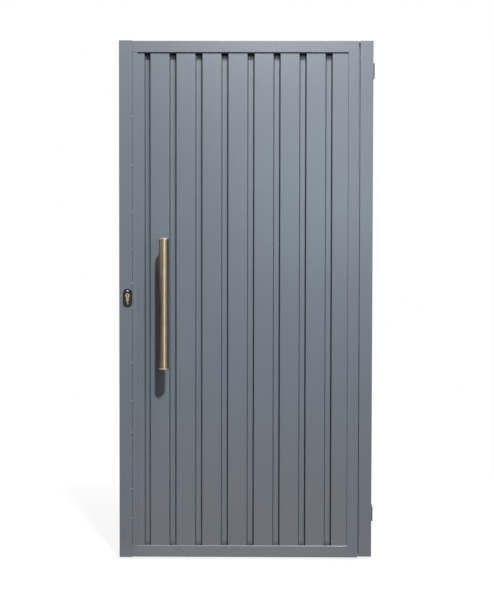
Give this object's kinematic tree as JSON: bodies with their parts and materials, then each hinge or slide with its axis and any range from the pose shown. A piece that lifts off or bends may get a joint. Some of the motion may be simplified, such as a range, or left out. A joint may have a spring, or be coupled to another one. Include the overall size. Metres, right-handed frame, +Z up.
{
  "type": "steel utility door",
  "caption": "Steel door leaf of square tubes around a profiled sheet panel, with a tubular pull handle, a cylinder lock and butt hinges to fasten to a post.",
  "frame": {"origin": "on the outer face of the lower hinge's fixed leaf, half-way up that hinge and half-way through the depth of the edge tubes", "axes": "+X out of the hinge face towards the post, +Y from the front to the back of the closed leaf, +Z up"},
  "size_m": [0.9846, 0.133, 1.996],
  "materials": {
    "leaf_paint": "satin",
    "sheet_paint": "satin",
    "stop_primer": "matte",
    "hinge_paint": "satin",
    "tube_cap": "matte",
    "handle_metal": "satin",
    "cover_black": "satin",
    "cylinder_brass": "satin",
    "zinc_steel": "satin",
    "hinge_pin": "satin"
  },
  "bodies": {
    "hinge_fixed_leaves": {"lower_hinge_fixed_leaf": "hinge_paint", "lower_hinge_pin": "hinge_pin", "upper_hinge_fixed_leaf": "hinge_paint", "upper_hinge_pin": "hinge_pin"},
    "door_leaf": {"lock_tube": "leaf_paint", "lock_tube_top_cap": "tube_cap", "lock_tube_bottom_cap": "tube_cap", "hinge_tube": "leaf_paint", "hinge_tube_top_cap": "tube_cap", "hinge_tube_bottom_cap": "tube_cap", "top_rail": "leaf_paint", "bottom_rail": "leaf_paint", "hinge_side_stile": "leaf_paint", "lock_side_stile": "leaf_paint", "hinge_side_spacer_strip": "leaf_paint", "profiled_sheet": "sheet_paint", "top_sheet_stop": "stop_primer", "bottom_sheet_stop": "stop_primer", "handle_bar": "handle_metal", "handle_bar_top_cap": "handle_metal", "handle_bar_bottom_cap": "handle_metal", "upper_handle_post": "handle_metal", "lower_handle_post": "handle_metal", "upper_handle_washer": "zinc_steel", "lower_handle_washer": "zinc_steel", "upper_handle_nut": "zinc_steel", "lower_handle_nut": "zinc_steel", "front_escutcheon": "cover_black", "back_escutcheon": "cover_black", "cylinder_body": "cylinder_brass", "front_cylinder_plug": "cylinder_brass", "back_cylinder_plug": "cylinder_brass", "lock_faceplate": "zinc_steel", "lock_bolt": "zinc_steel", "lock_case": "zinc_steel", "lower_hinge_moving_leaf": "hinge_paint", "upper_hinge_moving_leaf": "hinge_paint"}
  },
  "joints": [
    {"name": "door_swing", "type": "hinge", "parent": "hinge_fixed_leaves", "child": "door_leaf", "pos_m": [-0.003, 0.031, 0], "axis": [0, 0, -1], "range_deg": [0, 110]}
  ]
}
